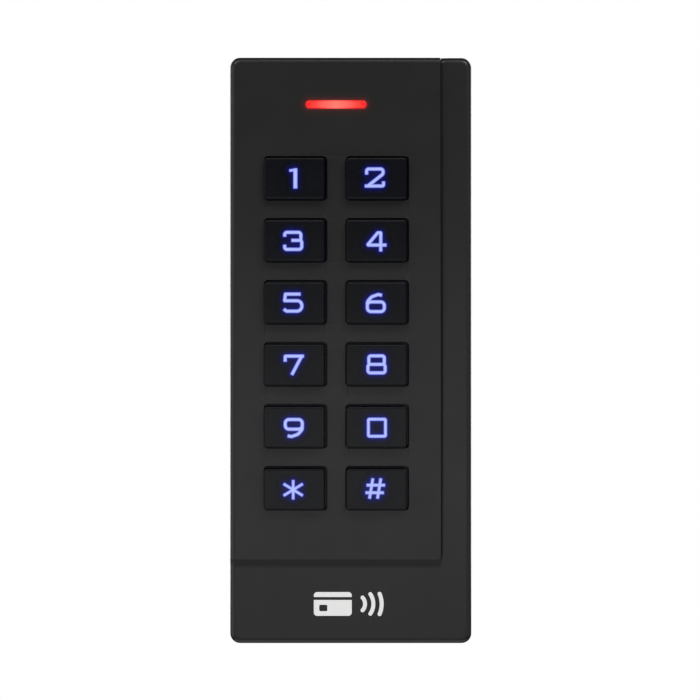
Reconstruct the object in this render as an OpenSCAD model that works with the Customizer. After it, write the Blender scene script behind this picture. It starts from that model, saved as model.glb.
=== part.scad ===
// Keypad access reader: a slim upright wall reader with twelve back-lit keys in two columns.
//
// Every module is drawn lying on its back: X to the right, Y up the reader, and Z out from the wall.
// upright() then stands it up, so that the reader's height is +Z and its front faces -Y.
// The origin is on the wall, at the centre of the wall plate's screw pattern.

/* [Body] */
// Width of the housing
body_w = 51; // [50:0.5:54]
// Height of the housing
body_h = 123.7; // [123:0.1:128]
// Distance from the wall to the raised panel
body_d = 22; // [21.8:0.1:24]
// Radius of the housing's corners, seen from the front
corner_r = 2.1; // [1.6:0.1:2.6]
// Radius along the housing's front edges
edge_r = 1.3; // [0.8:0.1:1.6]
// Thickness of the housing's walls
wall_t = 2; // [1.8:0.1:2.2]

/* [Raised panel] */
// Width of the lower strip to the right of the raised panel
strip_w = 6.5; // [5.5:0.1:7]
// Height of the lower strip below the raised panel
strip_h = 17.9; // [16:0.05:18]
// Drop from the raised panel to the strip
step_d = 0.4; // [0.3:0.1:1.2]

/* [Keys] */
// Width of a key
key_w = 12.6; // [12:0.1:13.2]
// Height of a key
key_h = 8.65; // [8:0.05:9.2]
// Distance between the two columns
key_pitch_x = 17.2; // [17:0.1:18]
// Distance between rows
key_pitch_y = 13.05; // [12.8:0.05:13.3]
// How far a key stands out of the panel
key_proud = 1.8; // [1.2:0.1:2]
// How far a key travels when it is pressed
key_travel = 0.8; // [0.4:0.1:0.8]
// Gap round a key in its opening
key_gap = 0.3; // [0.25:0.05:0.45]

/* [Status bar] */
// Length of the status bar
bar_w = 12.9; // [10:0.1:14]
// Height of the status bar
bar_h = 1.7; // [1.5:0.05:2.2]

/* [Wall fixing] */
// Distance between the outer pair of wall screws
screw_spacing_wide = 83.3; // [83.3]
// Distance between the inner pair of wall screws
screw_spacing_narrow = 60.3; // [60, 60.3]
// Radius of the wall screw holes
screw_hole_r = 2.2; // [2:0.1:2.4]
// Radius of the hole for the cable in the wall plate
cable_hole_r = 9; // [8:0.5:10]
// Radius of the cable in its grommet
cable_r = 3; // [2.5:0.1:3.2]

/* [Hidden] */
$fn = 48;
eps = 0.01;

// Levels, as distances from the wall
plate_t = 1.5;
rim_z = 0.4;
rear_z = 5.4;
rear_t = 1.6;
ledge_z = 8;
board_t = 1.6;
ceiling_z = body_d - 2.4;
key_base_z = ceiling_z - 0.9;
board_z = ceiling_z - 6.4;
board_top = board_z + board_t;
strip_z = body_d - step_d;
mat_t = 1;

// Housing
half_w = body_w / 2;
half_h = body_h / 2;
inner_w = body_w - 2 * wall_t;
inner_h = body_h - 2 * wall_t;
ledge_w = 1.2;
core_w = inner_w - 2 * ledge_w;
core_h = inner_h - 2 * ledge_w;
inner_r = 1;
panel_x = half_w - strip_w;
panel_y = -half_h + strip_h;
panel_corner_r = 0.6;
step_slope_x = 0.5;
step_slope_y = 1.75;

// Keys, in rows from the top and in columns from the left
KEY_NAMES = ["1", "2", "3", "4", "5", "6", "7", "8", "9", "0", "star", "hash"];
key_top_y = 36.05;
key_mid_x = -3.25;
keys_mid_y = key_top_y - 2.5 * key_pitch_y;
key_corner_r = 0.45;
key_edge = 0.25;
key_roof = 1.2;
key_wall = 0.9;
flange_w = key_w + 2.2;
flange_h = key_h + 2.05;
flange_t = 0.85;

// Rubber dome under each key
dome_base_r = 4.1;
dome_top_r = 3.3;
dome_wall = 0.6;
plunger_r = 1.9;
pill_r = 1.8;
pill_t = 0.4;
pad_t = 0.05;
pill_z = board_top + pad_t + key_travel + 0.02;

// Status bar
bar_x = -3.1;
bar_y = 51.85;
bar_flange = 1.5;
lens_flange_t = 1.25;
box_wall = 1;

// Screw bosses: one in each corner for the rear cover, and five round the keys for the board
boss_x = core_w / 2 - 2.9;
corner_y = core_h / 2 - 2.95;
corner_bosses = [for (x = [-boss_x, boss_x], y = [-corner_y, corner_y]) [x, y]];
corner_boss_r = 3.2;
cover_screw_r = 1.3;
board_boss_top = key_top_y + 10.35;
board_boss_low = key_top_y - 5 * key_pitch_y - 8.8;
board_bosses = concat(
    [for (x = [-boss_x, boss_x], y = [board_boss_low, board_boss_top]) [x, y]],
    [[key_mid_x + key_pitch_x / 2 + 12.65, keys_mid_y]]);
board_boss_r = 2.2;
board_screw_r = 1;
thread_gap = 0.05;

// Board
board_w = core_w - 1;
board_y0 = board_boss_low - 3.1;
board_y1 = core_h / 2 - 0.45;

// Wall plate and security screw
plate_gap = 0.5;
plate_w = inner_w - 2 * plate_gap;
plate_h = inner_h - 2 * plate_gap;
hook_x = 12;
hook_w = 6;
hook_t = 1.2;
hook_y = inner_h / 2 - 1.45;
lock_z = 3.2;
lock_r = 1.25;
lock_head_r = 2.2;
lock_boss = 1.45;
lock_tab_y = -inner_h / 2 + 3.75;

// Grommet, sensor and coil
grommet_r = 5;
grommet_lip = 1.2;
sensor_at = [-14, -24];
sensor_r = 2.2;
coil_w = 31.6;
coil_h = 14.6;
coil_y = -50.6;
coil_t = 2.5;
coil_band = 2.6;
header_y = -12;

function key_at(i) = [key_mid_x + (i % 2 - 0.5) * key_pitch_x, key_top_y - floor(i / 2) * key_pitch_y];

// ---------------------------------------------------------------- shared shapes

module upright() {
    rotate([90, 0, 0]) children();
}

// Rectangle with round corners, centred
module round_rect(w, h, r) {
    square([w - 2 * r, h], center = true);
    square([w, h - 2 * r], center = true);
    for (x = [-1, 1], y = [-1, 1])
        translate([x * (w / 2 - r), y * (h / 2 - r)]) circle(r);
}

// Prism of a round rectangle from z0 to z1
module slab(w, h, r, z0, z1) {
    translate([0, 0, z0]) linear_extrude(z1 - z0) round_rect(w, h, r);
}

module ring_slab(w, h, r, band, z0, z1) {
    translate([0, 0, z0]) linear_extrude(z1 - z0) difference() {
        round_rect(w, h, r);
        round_rect(w - 2 * band, h - 2 * band, max(r - band, 0.3));
    }
}

module box(w, h, z0, z1) {
    translate([-w / 2, -h / 2, z0]) cube([w, h, z1 - z0]);
}

// Straight round wire from p to q
module wire(p, q, r) {
    run = q - p;
    length = norm(run);
    translate(p) rotate([0, acos(run[2] / length), atan2(run[1], run[0])])
        cylinder(r = r, h = length, $fn = 16);
}

module at_keys() {
    for (i = [0 : len(KEY_NAMES) - 1]) translate(key_at(i)) children();
}

// Screw that points out from the wall, with its head's rear face at z0 and a cross slot
module screw(head_r, head_t, shank_r, length, z0) {
    difference() {
        union() {
            translate([0, 0, z0]) cylinder(r = head_r, h = head_t);
            translate([0, 0, z0 + head_t - eps]) cylinder(r = shank_r, h = length + eps);
        }
        for (a = [0, 90]) rotate([0, 0, a])
            box(head_r * 1.1, head_r * 0.28, z0 - eps, z0 + head_t * 0.6);
    }
}

// Flat chip with rows of bent leads on its long sides, soldered to the board's rear face
module leaded_chip(w, h, t, leads, pitch, lead_w, sides = 2) {
    color([0.08, 0.08, 0.09]) box(w, h, board_z - t - 0.1, board_z - 0.1);
    color("silver")
        for (s = [0 : sides - 1]) rotate([0, 0, s * 360 / sides])
            for (k = [0 : leads - 1]) translate([w / 2, (k - (leads - 1) / 2) * pitch, 0]) {
                translate([-eps, -lead_w / 2, board_z - t * 0.6]) cube([0.35 + eps, lead_w, 0.15]);
                translate([0.35 - 0.15, -lead_w / 2, board_z - t * 0.6]) cube([0.15, lead_w, t * 0.6]);
                translate([0.35 - 0.15, -lead_w / 2, board_z - 0.15]) cube([0.6, lead_w, 0.15]);
            }
}

// ---------------------------------------------------------------- housing

// Corner post of the housing with a rounded front edge
module edge_post(z0, z1) {
    translate([0, 0, z0]) cylinder(r = corner_r, h = z1 - z0 - edge_r, $fn = 32);
    translate([0, 0, z1 - edge_r]) rotate_extrude($fn = 32) {
        square([corner_r - edge_r, edge_r]);
        translate([corner_r - edge_r, 0]) intersection() {
            circle(edge_r, $fn = 32);
            square(edge_r);
        }
    }
}

// Whole outline up to the strip's level
module strip_block() {
    hull()
        for (x = [-1, 1], y = [-1, 1])
            translate([x * (half_w - corner_r), y * (half_h - corner_r), 0]) edge_post(rim_z, strip_z);
}

// Raised panel: flush with the left and top sides, and sloping down to the strip on the other two
module panel_block() {
    foot_w = panel_x + step_slope_x + half_w;
    intersection() {
        hull()
            for (x = [-1, 1], y = [-1, 1])
                translate([x * (half_w - corner_r), y * (half_h - corner_r), 0]) edge_post(rim_z, body_d);
        hull() {
            translate([-half_w, panel_y - step_slope_y, strip_z - 3])
                cube([foot_w, half_h - panel_y + step_slope_y, 3 + eps]);
            translate([-half_w, panel_y, body_d - eps])
                linear_extrude(2 * eps) panel_top();
        }
    }
}

module panel_top() {
    w = panel_x + half_w;
    h = half_h - panel_y;
    difference() {
        square([w, h]);
        translate([w - panel_corner_r, 0]) square(panel_corner_r);
    }
    translate([w - panel_corner_r, panel_corner_r]) circle(panel_corner_r);
}

module cover_inside() {
    slab(inner_w, inner_h, inner_r, rim_z - 1, ledge_z);
    slab(core_w, core_h, inner_r, rim_z - 1, ceiling_z);
}

module cover_bosses() {
    for (p = board_bosses) translate(p)
        translate([0, 0, board_top]) cylinder(r = board_boss_r, h = ceiling_z - board_top + eps);
    for (p = corner_bosses) translate(p) {
        translate([0, 0, ledge_z]) cylinder(r = corner_boss_r, h = ceiling_z - ledge_z + eps);
        // narrower foot, clear of the gasket
        translate([0, 0, rear_z + rear_t]) cylinder(r = corner_boss_r - 0.4, h = ledge_z - rear_z - rear_t + eps);
    }
    // rib that hangs on the wall plate's hooks
    translate([-hook_x - hook_w, inner_h / 2 - 1.2, 2.2]) cube([2 * (hook_x + hook_w), 1.2 + eps, 1.2]);
    // block round the security screw
    translate([-4, -inner_h / 2 - eps, rim_z + 0.1]) cube([8, lock_boss + eps, 4.8]);
}

module cover_bores() {
    for (p = board_bosses) translate([p[0], p[1], board_top - eps])
        cylinder(r = board_screw_r + thread_gap, h = ceiling_z - board_top - 0.8);
    for (p = corner_bosses) translate([p[0], p[1], rear_z + rear_t - eps])
        cylinder(r = cover_screw_r + thread_gap, h = 9);
    translate([0, -half_h, lock_z]) rotate([-90, 0, 0]) {
        translate([0, 0, -1]) cylinder(r = lock_r + 0.15, h = 6);
        translate([0, 0, -1]) cylinder(r = lock_head_r + 0.2, h = 2.3);
    }
}

module front_cover() {
    color([0.11, 0.11, 0.12]) upright() difference() {
        union() {
            difference() {
                union() {
                    strip_block();
                    panel_block();
                }
                cover_inside();
            }
            cover_bosses();
        }
        cover_bores();
        at_keys() slab(key_w + 2 * key_gap, key_h + 2 * key_gap, 0.8, ceiling_z - 1, body_d + 1);
        translate([bar_x, bar_y, 0]) slab(bar_w + 0.1, bar_h + 0.1, bar_h / 2 + 0.05 - eps, ceiling_z - 1, body_d + 1);
    }
}

// ---------------------------------------------------------------- status bar

module status_lens() {
    color([1, 0.25, 0.25]) upright() translate([bar_x, bar_y, 0]) {
        slab(bar_w, bar_h, bar_h / 2 - eps, ceiling_z - eps, body_d);
        slab(bar_w + 2 * bar_flange, bar_h + 2 * bar_flange, 1, ceiling_z - lens_flange_t, ceiling_z);
    }
}

module light_box() {
    color("white") upright() translate([bar_x, bar_y, 0])
        ring_slab(bar_w + 4, bar_h + 4, 1.2, box_wall, board_top, ceiling_z - lens_flange_t);
}

module status_lamps() {
    color([0.95, 0.93, 0.8]) upright()
        for (x = [-4, 0, 4]) translate([bar_x + x, bar_y, 0]) box(2.8, 2, board_top, board_top + 0.8);
}

// ---------------------------------------------------------------- keys

module keycap(i) {
    color([0.13, 0.13, 0.15]) upright() translate(key_at(i)) {
        difference() {
            union() {
                slab(flange_w, flange_h, 0.8, key_base_z, key_base_z + flange_t);
                slab(key_w, key_h, key_corner_r, key_base_z, body_d + key_proud - key_edge);
                hull() {
                    slab(key_w, key_h, key_corner_r, body_d, body_d + key_proud - key_edge);
                    slab(key_w - 2 * key_edge, key_h - 2 * key_edge, key_corner_r / 2,
                         body_d, body_d + key_proud);
                }
            }
            slab(key_w - 2 * key_wall, key_h - 2 * key_wall, 0.4,
                 key_base_z - 1, body_d + key_proud - key_roof);
        }
        translate([0, 0, key_base_z]) cylinder(r = dome_top_r - 0.6, h = body_d + key_proud - key_roof - key_base_z + eps);
    }
}

module contact_pill(i) {
    color([0.05, 0.05, 0.05]) upright() translate(key_at(i))
        translate([0, 0, pill_z]) cylinder(r = pill_r, h = pill_t);
}

// Section of one dome and its plunger, from the axis outwards
module dome_section() {
    base = board_top;
    polygon([
        [0, pill_z + pill_t], [plunger_r, pill_z + pill_t],
        [plunger_r, key_base_z - 1.6], [dome_top_r - dome_wall, key_base_z - 1.6],
        [dome_base_r - dome_wall, base + mat_t], [dome_base_r - dome_wall, base],
        [dome_base_r + 0.1, base], [dome_base_r + 0.1, base + mat_t],
        [dome_base_r, base + mat_t], [dome_top_r, key_base_z - 0.6],
        [dome_top_r, key_base_z], [0, key_base_z]]);
}

module key_mat() {
    margin = 0.6;
    w = key_pitch_x + flange_w + 2 * margin;
    h = 5 * key_pitch_y + flange_h + 2 * margin;
    color([0.75, 0.78, 0.8]) upright() {
        difference() {
            translate([key_mid_x, keys_mid_y, 0]) slab(w, h, 1, board_top, board_top + mat_t);
            at_keys() {
                translate([0, 0, board_top - 1]) cylinder(r = dome_base_r, h = mat_t + 2);
                for (x = [-5.2, 5.2]) translate([x, 0, 0]) box(1.4, 2.4, board_top - 1, board_top + 2);
            }
        }
        at_keys() rotate_extrude() dome_section();
    }
}

// ---------------------------------------------------------------- board and what is on it

module main_board() {
    notch = corner_boss_r + 0.4;
    color([0.05, 0.3, 0.15]) upright() translate([0, 0, board_z]) linear_extrude(board_t) difference() {
        translate([0, (board_y0 + board_y1) / 2]) round_rect(board_w, board_y1 - board_y0, 1);
        for (s = [-1, 1]) translate([s * boss_x, corner_y]) {
            circle(notch);
            translate([s > 0 ? 0 : -10, -notch]) square([10, 10]);
            translate([-notch, 0]) square([2 * notch, 10]);
        }
        for (p = board_bosses) translate(p) circle(board_screw_r + 0.1);
    }
}

module contact_pads() {
    color("gold") upright() at_keys()
        for (s = [-1, 1]) translate([0, 0, board_top]) intersection() {
            cylinder(r = 2.6, h = pad_t);
            translate([s > 0 ? 0.2 : -5.2, -5, -1]) cube([5, 10, 3]);
        }
}

module backlight_lamps() {
    color([0.6, 0.75, 1]) upright() at_keys()
        for (x = [-5.2, 5.2]) translate([x, 0, 0]) box(0.8, 1.6, board_top, board_top + 0.6);
}

module microcontroller() {
    upright() translate([-6, 20, 0]) leaded_chip(7, 7, 1.4, 12, 0.5, 0.22, 4);
}

module reader_chip() {
    upright() translate([6, -28, 0]) leaded_chip(3.9, 9.9, 1.5, 8, 1.27, 0.42);
}

module crystal() {
    color("silver") upright() translate([-6, 30, 0]) {
        slab(11, 4.6, 2.29, board_z - 3.5, board_z - 0.5);
        slab(12, 5, 2.49, board_z - 0.5, board_z);
    }
}

module voltage_regulator() {
    upright() translate([11, 14, 0]) {
        color([0.08, 0.08, 0.09]) box(6.5, 3.5, board_z - 1.7, board_z - 0.1);
        color("silver") {
            for (x = [-2.3, 0, 2.3]) translate([x, -2.6, 0]) box(0.7, 1.8, board_z - 0.25, board_z);
            translate([0, 2.6, 0]) box(3, 1.8, board_z - 0.25, board_z);
        }
    }
}

module filter_capacitor() {
    upright() translate([-14.5, 8, 0]) {
        color([0.1, 0.1, 0.1]) slab(6.6, 6.6, 0.6, board_z - 0.8, board_z);
        color("silver") translate([0, 0, board_z - 5.4]) cylinder(r = 3.15, h = 4.6 + eps);
    }
}

module protection_diodes() {
    color([0.1, 0.1, 0.11]) upright()
        for (k = [0 : 3]) translate([-9 + k * 6, header_y - 7.5, 0]) box(2.6, 4.4, board_z - 2, board_z);
}

module chip_resistors() {
    color([0.15, 0.15, 0.17]) upright() {
        for (k = [0 : 7], s = [0, 1]) translate([4 + k * 1.8, 24 + s * 3, 0]) box(0.8, 1.6, board_z - 0.45, board_z);
        for (k = [0 : 5]) translate([-2 + k * 1.8, -36, 0]) box(0.8, 1.6, board_z - 0.45, board_z);
    }
}

module buzzer() {
    color([0.07, 0.07, 0.07]) upright() translate([9, 40, 0]) difference() {
        translate([0, 0, board_z - 4.5]) cylinder(r = 6, h = 4.5);
        translate([0, 0, board_z - 5]) cylinder(r = 0.9, h = 1.5);
    }
}

module tamper_sensor() {
    upright() translate(sensor_at) {
        color([0.7, 0.45, 0.2]) translate([0, 0, board_z - 2.5]) cylinder(r = 2.5, h = 2.5);
    }
}

module wire_header() {
    color("ivory") upright() translate([0, header_y, 0]) difference() {
        box(20.4, 7, board_z - 4.8, board_z);
        translate([0, 1.2, 0]) box(18.6, 7, board_z - 4, board_z - 0.9);
    }
}

// Pins pressed through the header's back wall and bent down to the board
module header_pins() {
    pin_t = 0.5;
    pitch = 2.2;
    color("gold") upright() for (k = [-3.5 : 3.5]) translate([k * pitch - pin_t / 2, header_y, 0]) {
        translate([0, -4.2, board_z - 2.8]) cube([pin_t, 6.6, pin_t]);
        translate([0, -4.2, board_z - 2.8]) cube([pin_t, pin_t, 2.8]);
    }
}

module antenna_coil() {
    coil_z = ceiling_z - coil_t;
    color([0.72, 0.4, 0.18]) upright() {
        translate([0, coil_y, 0]) ring_slab(coil_w, coil_h, 3.4, coil_band, coil_z, ceiling_z);
        for (x = [-2, 2]) {
            wire([x, coil_y + coil_h / 2 - 0.5, coil_z + 0.3], [x, board_y0 + 1, board_top + 0.2], 0.2);
        }
    }
}

module board_screws() {
    color("silver") upright() for (p = board_bosses) translate(p)
        screw(1.9, 1.3, board_screw_r, board_t + 3.6, board_z - 1.3);
}

// ---------------------------------------------------------------- back

module cover_gasket() {
    color([0.2, 0.2, 0.2]) upright()
        ring_slab(inner_w - 0.2, inner_h - 0.2, inner_r, 1, rear_z + rear_t, ledge_z);
}

module rear_cover() {
    rib_z = rear_z + rear_t;
    color([0.12, 0.12, 0.13]) upright() difference() {
        union() {
            slab(inner_w - 0.6, inner_h - 0.6, inner_r, rear_z, rib_z);
            // stiffening ribs above and below the cable
            for (y = [-32, 32]) translate([0, y, 0]) box(34, 1.2, rib_z - eps, rib_z + 1.2);
        }
        for (p = corner_bosses) translate([p[0], p[1], rear_z - 1]) cylinder(r = cover_screw_r + 0.2, h = 4);
        translate([0, 0, rear_z - 1]) cylinder(r = grommet_r, h = 4);
        translate([sensor_at[0], sensor_at[1], rear_z - 1]) cylinder(r = sensor_r, h = 4);
    }
}

module tamper_window() {
    color([0.9, 0.95, 1, 0.5]) upright() translate(sensor_at) {
        translate([0, 0, rear_z]) cylinder(r = sensor_r, h = rear_t);
        translate([0, 0, rear_z + rear_t]) cylinder(r = sensor_r + 0.8, h = 0.8);
    }
}

module cable_grommet() {
    lip = grommet_r + grommet_lip;
    color([0.1, 0.1, 0.1]) upright() translate([0, 0, rear_z - grommet_lip]) rotate_extrude() polygon([
        [cable_r, 0], [lip, 0], [lip, grommet_lip], [grommet_r, grommet_lip],
        [grommet_r, grommet_lip + rear_t], [lip, grommet_lip + rear_t],
        [lip - 0.6, 2 * grommet_lip + rear_t], [cable_r, 2 * grommet_lip + rear_t]]);
}

module cover_screws() {
    color("silver") upright() for (p = corner_bosses) translate(p)
        screw(2.3, 1.7, cover_screw_r, rear_t + 8, rear_z - 1.7);
}

module wall_plate() {
    lip_z = 3.6;
    color([0.7, 0.72, 0.74]) upright() difference() {
        union() {
            slab(plate_w, plate_h, 2, 0, plate_t);
            for (s = [-1, 1]) translate([s * hook_x - hook_w / 2, hook_y - hook_t, 0]) {
                cube([hook_w, hook_t, lip_z + 1.2]);
                translate([0, 0, lip_z]) cube([hook_w, hook_t + 1, 1.2]);
            }
            translate([-5, lock_tab_y - plate_t, 0]) cube([10, plate_t, 5.2]);
        }
        // room for the housing's block round the security screw
        translate([-5, -inner_h / 2 - 1, -1]) cube([10, 1 + lock_boss + 0.4, 4]);
        for (s = [-1, 1], d = [screw_spacing_wide, screw_spacing_narrow])
            translate([0, s * d / 2, -1]) cylinder(r = screw_hole_r, h = 4);
        translate([0, 0, -1]) cylinder(r = cable_hole_r, h = 4);
        translate([0, lock_tab_y - 3, lock_z]) rotate([-90, 0, 0]) cylinder(r = lock_r + thread_gap, h = 5);
    }
}

// Security screw with a pin in the middle of its six-lobed recess
module security_screw() {
    head_t = 1.1;
    color("silver") upright() translate([0, -half_h + 0.1, lock_z]) rotate([-90, 0, 0]) difference() {
        union() {
            cylinder(r = lock_head_r, h = head_t);
            translate([0, 0, head_t - eps]) cylinder(r = lock_r, h = 6);
        }
        translate([0, 0, -1]) linear_extrude(1.7) difference() {
            union() {
                circle(0.85);
                for (a = [0 : 60 : 300]) rotate(a) translate([0.85, 0]) circle(0.28);
            }
            circle(0.35);
        }
    }
}

// ---------------------------------------------------------------- which nodes are drawn

front_cover();
status_lens();
light_box();
key_mat();
main_board();
contact_pads();
backlight_lamps();
status_lamps();
microcontroller();
reader_chip();
crystal();
voltage_regulator();
filter_capacitor();
protection_diodes();
chip_resistors();
buzzer();
tamper_sensor();
wire_header();
header_pins();
antenna_coil();
board_screws();
cover_gasket();
rear_cover();
tamper_window();
cable_grommet();
cover_screws();
wall_plate();
security_screw();
for (i = [0 : len(KEY_NAMES) - 1]) {
    keycap(i);
    contact_pill(i);
}
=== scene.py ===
"""Looks of the keypad access reader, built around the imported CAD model.

Shapes are worked out in millimetres with the reader lying on its back, as in the CAD source:
x to the right, y up the reader and z out from the wall. make_piece() stands them up, in metres.
"""
import math

import bmesh
import bpy
import numpy as np
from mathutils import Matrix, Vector
from mathutils.geometry import delaunay_2d_cdt


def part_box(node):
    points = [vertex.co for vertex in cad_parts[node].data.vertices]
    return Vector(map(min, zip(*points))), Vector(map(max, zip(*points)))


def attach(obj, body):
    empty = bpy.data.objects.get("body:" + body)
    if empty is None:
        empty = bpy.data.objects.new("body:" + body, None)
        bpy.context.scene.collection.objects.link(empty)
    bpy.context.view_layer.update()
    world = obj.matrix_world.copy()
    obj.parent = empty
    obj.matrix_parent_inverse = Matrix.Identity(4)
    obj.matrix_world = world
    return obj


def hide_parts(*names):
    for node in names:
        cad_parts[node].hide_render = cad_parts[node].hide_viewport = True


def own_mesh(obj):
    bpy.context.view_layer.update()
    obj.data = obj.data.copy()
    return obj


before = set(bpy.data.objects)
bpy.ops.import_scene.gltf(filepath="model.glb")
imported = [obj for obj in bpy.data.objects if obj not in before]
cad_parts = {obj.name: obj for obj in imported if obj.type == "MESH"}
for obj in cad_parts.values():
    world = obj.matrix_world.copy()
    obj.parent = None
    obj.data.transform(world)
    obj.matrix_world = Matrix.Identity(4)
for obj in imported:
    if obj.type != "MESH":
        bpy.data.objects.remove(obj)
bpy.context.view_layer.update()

MM = 0.001
KEY_NAMES = ["1", "2", "3", "4", "5", "6", "7", "8", "9", "0", "star", "hash"]


def lying_box(node):
    """Lowest and highest corners of a CAD node in mm, with the reader on its back."""
    low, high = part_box(node)
    return np.array([low.x, low.z, -high.y]) / MM, np.array([high.x, high.z, -low.y]) / MM


def middle(node):
    low, high = lying_box(node)
    return (low + high) / 2


# ---- sizes of the CAD model, in mm

COVER_LOW, COVER_HIGH = lying_box("front_cover")
HALF_W, HALF_H = COVER_HIGH[0], COVER_HIGH[1]
PANEL_Z = COVER_HIGH[2]
RIM_Z = COVER_LOW[2]
STRIP_Z = PANEL_Z - 0.4
CEILING_Z = PANEL_Z - 2.4
LEDGE_Z = 8.0
EDGE_R, RIM_EDGE_R = 1.3, 0.3
# Outside, inside and the inside above the ledge: width, height and corner radius
OUTLINE = (2 * HALF_W, 2 * HALF_H, 2.1)
INNER = (2 * HALF_W - 4, 2 * HALF_H - 4, 1.0)
CORE = (INNER[0] - 2.4, INNER[1] - 2.4, 1.0)

# Step from the raised panel down to the strip
PANEL_X = HALF_W - 6.5
PANEL_Y = -HALF_H + 17.9
PANEL_LEAN = 0.18   # how much further left the right side of the step starts at the top
PANEL_CORNER_R = 0.6
STEP_TOP, STEP_LOW, STEP_Y = 2.0, 0.6, 2.0   # widths: right side at the top and bottom, and below
STEP_ROUND = 0.02   # share of the lower side's width over which its upper edge is rounded
STEP_EASE = 1.8     # how gently the lower side runs out onto the strip
GROOVE = 0.27       # depth of the groove along the right side

# Keys. The openings lie a little to the upper right, because the keys rest low and to the left in them
KEY_CENTRES = {k: middle("keycap_" + k)[:2] for k in KEY_NAMES}
KEY_W, KEY_H, KEY_CORNER_R = 12.6, 8.65, 0.45
KEY_BASE_Z = lying_box("keycap_1")[0][2]
KEY_TOP_Z = lying_box("keycap_1")[1][2] - 0.02
FLANGE = (KEY_W + 2.2, KEY_H + 2.05, 0.8)   # width, height and corner radius
CAVITY = (KEY_W - 1.8, KEY_H - 1.8, 0.4)
OPENING = (KEY_W + 0.6, KEY_H + 0.6, 0.75)
FLANGE_T, CAVITY_Z, POST_R = 0.85, KEY_TOP_Z - 1.18, 2.7
OPENING_EDGE, OPENING_SHIFT = 0.12, np.array([0.22, 0.22])

# Status bar
BAR = middle("status_lens")[:2]
BAR_W, BAR_H = 12.9, 1.7
SLOT = (BAR_W + 0.1, BAR_H + 0.1, BAR_H / 2 + 0.04)
SLOT_EDGE, LENS_EDGE_R = 0.12, 0.3
LENS_FLANGE = (BAR_W + 3, BAR_H + 3, 1)
LENS_BASE_Z = lying_box("status_lens")[0][2]

# Screw bosses: their centres, and the radii of their bores and outsides
BOARD_BOSSES = [(-19.4, -38.0), (19.4, -38.0), (-19.4, 46.4), (19.4, 46.4), (18.0, 3.425)]
BOARD_BORE_R, BOARD_BOSS_R = 1.05, 2.2
CORNER_BOSSES = [(x, y) for x in (-19.4, 19.4) for y in (-55.7, 55.7)]
CORNER_BORE_R, CORNER_BOSS_R, CORNER_FOOT_R = 1.35, 2.8, 3.2
CORNER_BOSS_Z = 7.0
BOSS_OVERLAP = 0.4   # how far the bosses run into the face above them
BOARD_BACK_Z, BOARD_TOP_Z = (corner[2] for corner in lying_box("main_board"))

# The hanging rib and the block round the security screw: size, y of its middle, and its two z
RIB = ((36, 1.6, 0.2), INNER[1] / 2 - 0.4, (2.2, 3.4))
LOCK_BLOCK = ((8, 1.95, 0.2), -INNER[1] / 2 + 0.475, (RIM_Z + 0.1, RIM_Z + 4.9))

# Security screw: its height above the wall, its counterbore and its bore, as (radius, depth)
LOCK_Z = 3.2
LOCK_HEAD, LOCK_SHANK = (2.4, 1.3), (1.4, 5)

# Mat
MAT_T, MAT_CORNER_R = 1.0, 1.0
MAT_WINDOW = (1.4, 2.4, 0.1)   # width, height and corner radius, one on each side of a key's dome
MAT_WINDOW_X = 5.2
DOME_BASE_R, DOME_TOP_R, DOME_WALL = 4.1, 3.3, 0.6
MAT_TOP_Z = BOARD_TOP_Z + MAT_T
DOME_TOP_Z = KEY_BASE_Z - 0.6
PLUNGER_R, PLUNGER_HEAD_Z = 1.75, KEY_BASE_Z - 1.6


# ---- outlines

def rect_loop(w, h, r, steps):
    """Points round a rectangle with round corners, counter-clockwise; 4 * (steps + 1) of them."""
    points = []
    for corner, (sx, sy) in enumerate([(1, 1), (-1, 1), (-1, -1), (1, -1)]):
        for i in range(steps + 1):
            a = math.radians(90 * (corner + i / steps))
            points.append((sx * (w / 2 - r) + r * math.cos(a), sy * (h / 2 - r) + r * math.sin(a)))
    return np.array(points)


def circle_loop(r, count):
    a = (np.arange(count) + 0.5) * 2 * math.pi / count
    return np.column_stack([r * np.cos(a), r * np.sin(a)])


def rect_distance(p, w, h, r):
    """Distance from points to a round rectangle's outline, negative inside."""
    q = np.abs(p) - np.array([w / 2 - r, h / 2 - r])
    outside = np.hypot(np.maximum(q[:, 0], 0), np.maximum(q[:, 1], 0))
    return outside + np.minimum(np.maximum(q[:, 0], q[:, 1]), 0) - r


def grow(p, centre, w, h, r, by):
    """Moves points on a round rectangle's outline outwards by a distance."""
    local = p - centre
    core = np.clip(local, [-(w / 2 - r), -(h / 2 - r)], [w / 2 - r, h / 2 - r])
    out = local - core
    length = np.maximum(np.hypot(out[:, 0], out[:, 1]), 1e-9)[:, None]
    return centre + core + out / length * (length + by)


# ---- meshes

ROUND_STEPS = 48   # points round a turned piece
ON_AXIS = 1e-4   # mm, radius of a point on the axis
SAME_POINT = 1e-5   # mm
WELD, SLIVER = 2e-6, 1e-7   # m
SHARP_ANGLE = math.radians(35)


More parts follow.
